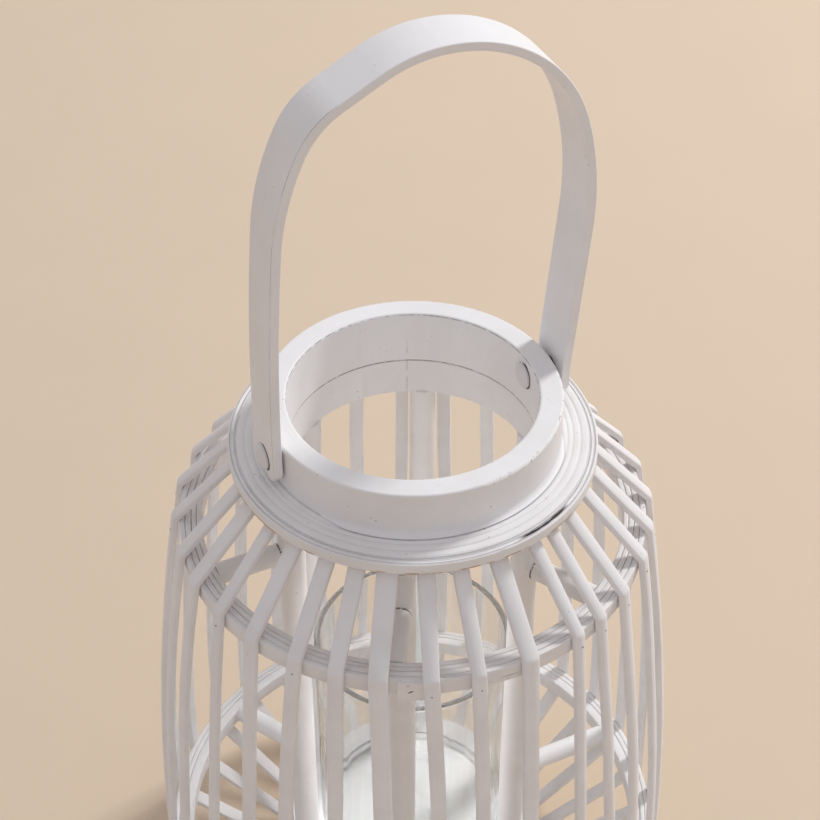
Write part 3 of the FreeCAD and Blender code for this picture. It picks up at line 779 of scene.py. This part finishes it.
def makeCove():
    points, faces = [], []
    for turn in turnsAround(cove["around"]):
        fromHandle = math.degrees(math.atan2(abs(math.sin(turn)), abs(math.cos(turn))))
        share = min(1.0, max(0.0, (fromHandle - cove["clearFrom"]) / (cove["clearTo"] - cove["clearFrom"])))
        size = cove["thin"] + (cove["size"] - cove["thin"]) * share * share * (3.0 - 2.0 * share)
        wall, ground = cove["wall"], cove["ground"]
        for angle in arcAngles(cove["steps"]):
            out, up = size - size * math.cos(angle), size - size * math.sin(angle)
            points.append(onRing(wall + out, turn, ground + up))
        points.append(onRing(wall, turn, ground))
    row = cove["steps"] + 2
    for spot in range(cove["around"]):
        a, b = spot * row, (spot + 1) % cove["around"] * row
        faces += [(a + i, a + (i + 1) % row, b + (i + 1) % row, b + i) for i in range(row)]
    mesh = newMesh("paintCove", points, faces, "collarPaint")
    mesh.shade_smooth()
    showPiece("paintCove", mesh, "cage")


makeCove()

# glass: a straight tumbler with a rolled rim and a hollow underside that stands on a ring
# underside: reaches, and how much of the hollow is left at each
tumbler = {"wall": 0.0035, "floor": 0.006, "hollow": 0.0014, "standing": 0.053, "heel": 0.003,
           "inside": 0.005, "underside": ((0.0, 1.0), (0.03, 1.0), (0.044, 0.8), (0.050, 0.2)),
           "bedReach": 0.025, "bedRise": 0.0001, "hold": 0.0008, "around": 128, "steps": 6}


def tumblerProfile():
    low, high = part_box("glass_insert")
    outer, inner, bed = high.x, high.x - tumbler["wall"], low.z + tumbler["floor"]
    rim, heel, inside = tumbler["wall"] / 2, tumbler["heel"], tumbler["inside"]
    hold, steps = tumbler["hold"], tumbler["steps"]
    line = [(reach, low.z + tumbler["hollow"] * share) for reach, share in tumbler["underside"]]
    line.append((tumbler["standing"], low.z))
    for angle in arcAngles(steps):
        line.append((outer - heel + heel * math.sin(angle), low.z + heel - heel * math.cos(angle)))
    # a close pair of loops at each end of a wall keeps its shading straight
    line += [(outer, low.z + heel + hold), (outer, high.z - rim - hold)]
    for angle in arcAngles(steps, 2):
        line.append((outer - rim + rim * math.cos(angle), high.z - rim + rim * math.sin(angle)))
    line += [(inner, high.z - rim - hold), (inner, bed + inside + hold)]
    for angle in arcAngles(steps):
        line.append((inner - inside + inside * math.cos(angle), bed + inside - inside * math.sin(angle)))
    middle = bed + tumbler["bedRise"]
    return line + [(inner - inside - hold, bed), (tumbler["bedReach"], middle), (0.0, middle)]


def makeTumbler():
    line, around = tumblerProfile(), tumbler["around"]
    points = [(0.0, 0.0, line[0][1]), (0.0, 0.0, line[-1][1])]
    for turn in turnsAround(around):
        points += [onRing(reach, turn, level) for reach, level in line[1:-1]]
    row, faces = len(line) - 2, []
    for spot in range(around):
        a, b = 2 + spot * row, 2 + (spot + 1) % around * row
        faces.append((0, b, a))
        faces += [(a + i, b + i, b + i + 1, a + i + 1) for i in range(row - 1)]
        faces.append((a + row - 1, b + row - 1, 1))
    mesh = newMesh("tumbler", points, faces, "clearGlass")
    mesh.shade_smooth()
    showPiece("tumbler", mesh, "glass", ["glass_insert"])


makeTumbler()

# brads: small nail heads in the slats just below the shoulder and at the lower hoop, some missing
brads = {"levels": (0.3325, 0.066), "radius": 0.0005, "proud": 0.00025, "spread": 0.0018, "stray": 0.0015,
         "skip": 0.25, "segments": 8, "rings": 4, "seed": 19}


def makeBradTree():
    ins = [("Spots", "Geometry"), ("Radius", "Float"), ("Proud", "Float"), ("Paint", "Material")]
    tree, given, result = newGroup("bradHeads", "GeometryNodeTree", ins, [("Heads", "Geometry")])
    headSize = {"Segments": brads["segments"], "Rings": brads["rings"], "Radius": 1.0}
    head = wire(tree, "GeometryNodeMeshUVSphere", headSize)
    facing = readAttribute(tree, "facing", "FLOAT_VECTOR")
    turned = wire(tree, "FunctionNodeAlignRotationToVector", {"Vector": facing}, axis="Z")
    size = compose(tree, given["Radius"], given["Radius"], given["Proud"])
    placing = {"Points": given["Spots"], "Instance": head, "Rotation": turned, "Scale": size}
    endTree(tree, wire(tree, "GeometryNodeInstanceOnPoints", placing), given["Paint"], result)
    return tree


def makeBrads():
    chance = random.Random(brads["seed"])
    side = slatProfile()[2:]  # without the tab at the top
    points, facings = [], []
    for name in slatNames:
        turn = slatTurn(name)
        for level in brads["levels"]:
            if chance.random() < brads["skip"]:
                continue
            above, below = next((a, b) for a, b in zip(side, side[1:]) if a[1] >= level >= b[1])
            share = (above[1] - level) / (above[1] - below[1])
            reach = above[0] + (below[0] - above[0]) * share
            aside = chance.uniform(-brads["spread"], brads["spread"])
            reach -= slats["crown"] * (aside / (slats["width"] / 2)) ** 2
            level += chance.uniform(-brads["stray"], brads["stray"])
            facing = Vector(onRing(1.0, turn, 0.0))
            points.append(facing * reach + Vector((-facing.y * aside, facing.x * aside, level)))
            facings.extend(facing)
    mesh = bpy.data.meshes.new("bradSpots")
    mesh.from_pydata(points, [], [])
    mesh.attributes.new("facing", "FLOAT_VECTOR", "POINT").data.foreach_set("vector", facings)
    values = {"Radius": brads["radius"], "Proud": brads["proud"], "Paint": finish["bradPaint"]}
    showPiece("brads", runTree(mesh, makeBradTree(), "brads", values), "cage")


makeBrads()

# lap where the shoulder hoop's outer strip ends
lap = {"turns": (-2.075, -1.968), "levels": (0.3256, 0.3384), "faces": (0.1288, 0.1312), "steps": 10,
       "ease": 0.0004, "easeCuts": 2}


def makeLap():
    (start, end), (low, high), (inner, outer) = lap["turns"], lap["levels"], lap["faces"]
    corners, faces = [], [(0, 1, 2, 3)]
    for step in range(lap["steps"] + 1):
        turn = start + (end - start) * step / lap["steps"]
        section = ((inner, low), (outer, low), (outer, high), (inner, high))
        corners += [onRing(reach, turn, level) for reach, level in section]
    for step in range(lap["steps"]):
        a, b = 4 * step, 4 * step + 4
        faces += [(b + i, b + (i + 1) % 4, a + (i + 1) % 4, a + i) for i in range(4)]
    last = 4 * lap["steps"]
    faces.append((last + 3, last + 2, last + 1, last))
    draft = bpy.data.objects.new("lapDraft", newMesh("lapPlate", corners, faces, "windingPaint"))
    scene.collection.objects.link(draft)
    bevel = draft.modifiers.new("ease", "BEVEL")
    bevel.width = lap["ease"]
    bevel.segments = lap["easeCuts"]
    bevel.limit_method = "ANGLE"
    showPiece("hoopLap", settle(draft, bevel, "hoopLap"), "cage")


makeLap()

# nail that lies slantwise in the lap; lean is how far it runs round the hoop and up
nail = {"turn": -2.022, "level": 0.3322, "long": 0.0034, "wide": 0.0004, "lean": (0.85, 0.5), "blunt": 0.04,
        "rows": 6, "sides": 8}


def makeNail():
    turn, rows, sides = nail["turn"], nail["rows"], nail["sides"]
    out = Vector(onRing(1.0, turn, 0.0))
    middle = Vector(onRing(lap["faces"][1], turn, nail["level"]))
    along = Vector((-out.y * nail["lean"][0], out.x * nail["lean"][0], nail["lean"][1])).normalized()
    aside = along.cross(out).normalized()
    points, faces = [], []
    for row in range(rows + 1):
        share = row / rows * 2.0 - 1.0
        fat = nail["wide"] * math.sqrt(max(nail["blunt"], 1.0 - share ** 2))
        for angle in turnsAround(sides):
            face = aside * math.cos(angle) + along.cross(aside) * math.sin(angle)
            points.append(middle + along * (share * nail["long"] / 2) + face * fat)
    for row in range(rows):
        for spot in range(sides):
            a, b = row * sides + spot, row * sides + (spot + 1) % sides
            faces.append((a, b, b + sides, a + sides))
    faces += [tuple(reversed(range(sides))), tuple(range(rows * sides, rows * sides + sides))]
    mesh = newMesh("hoopNail", points, faces, "bradPaint")
    mesh.shade_smooth()
    showPiece("hoopNail", mesh, "cage")


makeNail()

# floor, room light, lamps and camera: metres, watts, degrees, and linear colours
floorLook = {"color": (0.74, 0.60, 0.45), "shade": 0.96, "scale": 9.0, "rough": 0.85, "size": 60.0}
room = {"sky": (0.975, 0.95, 1.0), "strength": 0.52, "backdrop": (0.90, 0.87, 0.84)}
keyLamp = {"turn": 15.0, "rise": 43.0, "reach": 5.0, "aimLevel": 0.35, "size": 0.9, "power": 146.0}
fillLamp = {"place": (-0.024, -0.05, 0.20), "size": (0.09, 0.22), "power": 0.08, "color": (0.97, 0.97, 1.0),
            "tilt": 90.0, "turn": -25.4}
plateLamp = {"level": 0.228, "size": 0.09, "power": 0.012}
view = {"place": (-0.3301, -0.6921, 1.0713), "tilt": 49.12, "turn": -25.39, "lens": 83.63, "sensor": 36.0}


def makeFloor():
    bpy.ops.mesh.primitive_plane_add(size=floorLook["size"], location=(0, 0, 0))
    floor = bpy.context.active_object
    floor.name = "floor"
    material, tree, shader, point = newMaterial("paleFloor")
    tone = noise(tree, point, floorLook["scale"], detail=3.0)
    low = tuple(c * floorLook["shade"] for c in floorLook["color"])
    tree.links.new(mixColor(tree, tone, low, floorLook["color"]), shader.inputs["Base Color"])
    shader.inputs["Roughness"].default_value = floorLook["rough"]
    floor.data.materials.append(material)


def makeRoom():
    world = bpy.data.worlds.new("softRoom")
    world.use_nodes = True
    scene.world = world
    tree = world.node_tree
    sky = tree.nodes["Background"]
    sky.inputs["Color"].default_value = (*room["sky"], 1.0)
    sky.inputs["Strength"].default_value = room["strength"]
    # the camera, and glass, see a plain pale backdrop
    backdrop = wire(tree, "ShaderNodeBackground", {"Color": (*room["backdrop"], 1.0)})
    rays = addNode(tree, "ShaderNodeLightPath").outputs
    seen = calc(tree, "MAXIMUM", rays["Is Glossy Ray"], rays["Is Transmission Ray"], rays["Is Camera Ray"])
    blendShaders(tree, seen, sky.outputs[0], backdrop, tree.nodes["World Output"].inputs["Surface"])


def addLamp(name, shape, power):
    lamp = bpy.data.lights.new(name, "AREA")
    lamp.shape = shape
    lamp.energy = power
    item = bpy.data.objects.new(name, lamp)
    scene.collection.objects.link(item)
    return item


def makeLamps():
    turn, rise = math.radians(keyLamp["turn"]), math.radians(keyLamp["rise"])
    aim = Vector(onRing(math.cos(rise), turn, math.sin(rise)))
    key = addLamp("key", "DISK", keyLamp["power"])
    key.data.size = keyLamp["size"]
    key.location = aim * keyLamp["reach"] + Vector((0, 0, keyLamp["aimLevel"]))
    key.rotation_euler = aim.to_track_quat("Z", "Y").to_euler()
    # weak fill inside the cage, for the inner faces of the back slats and posts
    fill = addLamp("fill", "RECTANGLE", fillLamp["power"])
    fill.data.size, fill.data.size_y = fillLamp["size"]
    fill.data.color = fillLamp["color"]
    fill.location = fillLamp["place"]
    fill.rotation_euler = (math.radians(fillLamp["tilt"]), 0.0, math.radians(fillLamp["turn"]))
    # and one over the candle plate, shining down through the glass
    plateFill = addLamp("plateFill", "DISK", plateLamp["power"])
    plateFill.data.size = plateLamp["size"]
    plateFill.location = (0.0, 0.0, plateLamp["level"])
    for item in (fill, plateFill):
        item.visible_camera = item.visible_glossy = item.visible_transmission = False


def makeCamera():
    lens = bpy.data.cameras.new("view")
    lens.sensor_width = view["sensor"]
    lens.lens = view["lens"]
    camera = bpy.data.objects.new("view", lens)
    camera.location = view["place"]
    camera.rotation_euler = (math.radians(view["tilt"]), 0.0, math.radians(view["turn"]))
    scene.collection.objects.link(camera)
    scene.camera = camera


makeFloor()
makeRoom()
makeLamps()
makeCamera()
print("stage set")
